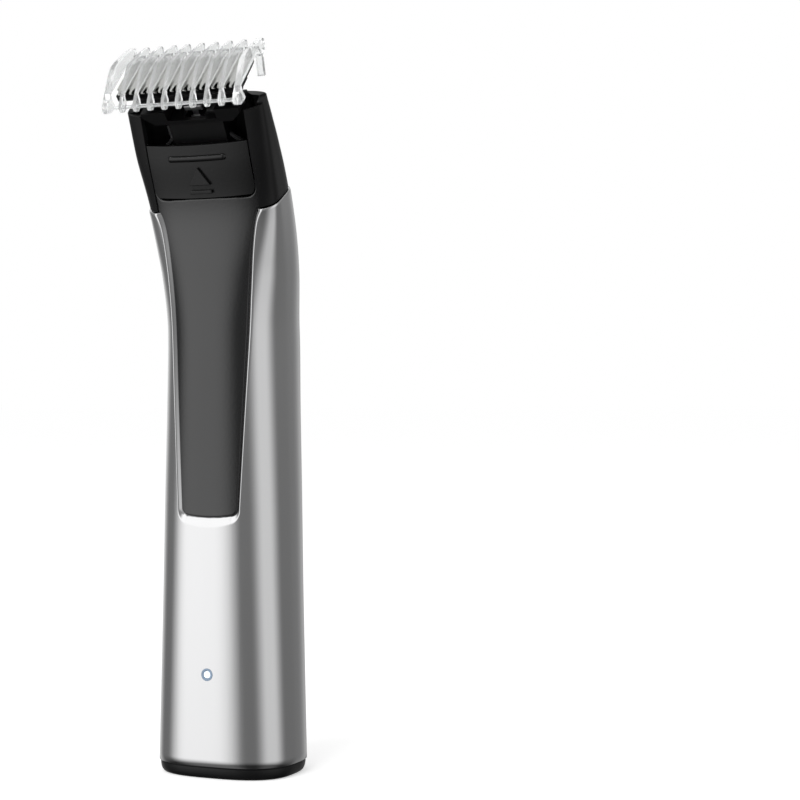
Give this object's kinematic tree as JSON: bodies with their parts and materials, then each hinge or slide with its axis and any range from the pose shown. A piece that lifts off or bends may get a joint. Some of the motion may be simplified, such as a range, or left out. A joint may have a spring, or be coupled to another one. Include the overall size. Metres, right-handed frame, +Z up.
{
  "type": "beard trimmer",
  "caption": "Cordless beard trimmer: steel handle bent forward to a black head, double-edged blade with a clear guide comb, soft-touch grip and lit power button.",
  "frame": {"origin": "centre of the flat foot, on the surface the trimmer stands on", "axes": "+Z up along the handle, -Y towards the front where the head leans, X across the blade"},
  "size_m": [0.0352, 0.0454, 0.1697],
  "materials": {
    "steel": "satin, brushed along the handle",
    "soft_grip": "matt soft-touch",
    "black_plastic": "fine satin moulding",
    "inner_plastic": "plain moulding",
    "rubber": "matt",
    "fastener": "plain",
    "motor_can": "plated",
    "brass": "plated",
    "board": "solder mask",
    "cell": "shrink sleeve",
    "glow": "lit diffuser",
    "white": "gloss",
    "blade": "ground",
    "clear": "clear, frosted inside"
  },
  "bodies": {
    "handle": {"steel_shell": "steel", "front_grip": "soft_grip", "rear_grip": "soft_grip", "bottom_cap": "black_plastic", "cap_seal": "rubber", "cap_screw_left": "fastener", "cap_screw_right": "fastener", "charging_contact_left": "brass", "charging_contact_right": "brass", "light_ring": "glow", "tact_switch": "inner_plastic", "ring_led": "white", "circuit_board": "board", "charge_chip": "inner_plastic", "battery": "cell", "battery_tab_lower": "brass", "battery_tab_upper": "brass", "chassis_front": "inner_plastic", "chassis_rear": "inner_plastic", "motor": "motor_can", "motor_screw_left": "fastener", "motor_screw_right": "fastener", "motor_mount": "inner_plastic", "lever_pin": "fastener", "lever_bracket": "inner_plastic", "head_housing": "black_plastic", "dock": "black_plastic", "drive_seal": "rubber", "latch_wire": "fastener", "slider_spring_left": "fastener", "slider_spring_right": "fastener"},
    "button": {"power_button": "white"},
    "rotor": {"motor_shaft": "fastener", "crank": "brass"},
    "lever": {"drive_lever": "fastener"},
    "slider": {"release_slider": "black_plastic"},
    "blade_unit": {"blade_base": "black_plastic", "flex_boot": "rubber", "tilt_pin_left": "fastener", "tilt_pin_right": "fastener"},
    "carrier": {"blade_carrier": "black_plastic", "guard_plate": "blade", "cutter_spring": "fastener"},
    "cutter": {"cutter_plate": "blade", "cutter_yoke": "inner_plastic"},
    "comb": {"comb": "clear"}
  },
  "joints": [
    {"name": "button_press", "type": "slide", "parent": "handle", "child": "button", "axis": [0, 1, 0], "range_m": [0, 0.0004], "stiffness_N_per_m": 600, "springref_m": -0.0004},
    {"name": "motor_spin", "type": "hinge", "parent": "handle", "child": "rotor", "pos_m": [0, -0.0006, 0.103], "axis": [0, -0.1045, 0.9945], "continuous": true},
    {"name": "lever_rock", "type": "hinge", "parent": "handle", "child": "lever", "pos_m": [0, -0.008, 0.138], "axis": [0, 0.8443, 0.5358], "range_deg": [-1.85, 1.85]},
    {"name": "release_slide", "type": "slide", "parent": "handle", "child": "slider", "axis": [0, -0.3239, 0.9461], "range_m": [0, 0.0018], "stiffness_N_per_m": 300, "springref_m": -0.001, "deforming": ["slider_spring_left", "slider_spring_right"]},
    {"name": "blade_release", "type": "slide", "parent": "handle", "child": "blade_unit", "axis": [0, -0.7373, 0.6756], "range_m": [0, 0.01]},
    {"name": "head_tilt", "type": "hinge", "parent": "blade_unit", "child": "carrier", "pos_m": [0, -0.01889, 0.15594], "axis": [1, 0, 0], "range_deg": [-5, 5], "stiffness_Nm_per_rad": 0.1},
    {"name": "cutter_stroke", "type": "slide", "parent": "carrier", "child": "cutter", "axis": [1, 0, 0], "range_m": [-0.00081, 0.00081]},
    {"name": "comb_pull", "type": "slide", "parent": "carrier", "child": "comb", "axis": [0, -0.7373, 0.6756], "range_m": [0, 0.012]}
  ],
  "couplings": [
    {"joint": "cutter_stroke", "follows": "lever_rock", "m_per_rad": 0.0248}
  ]
}
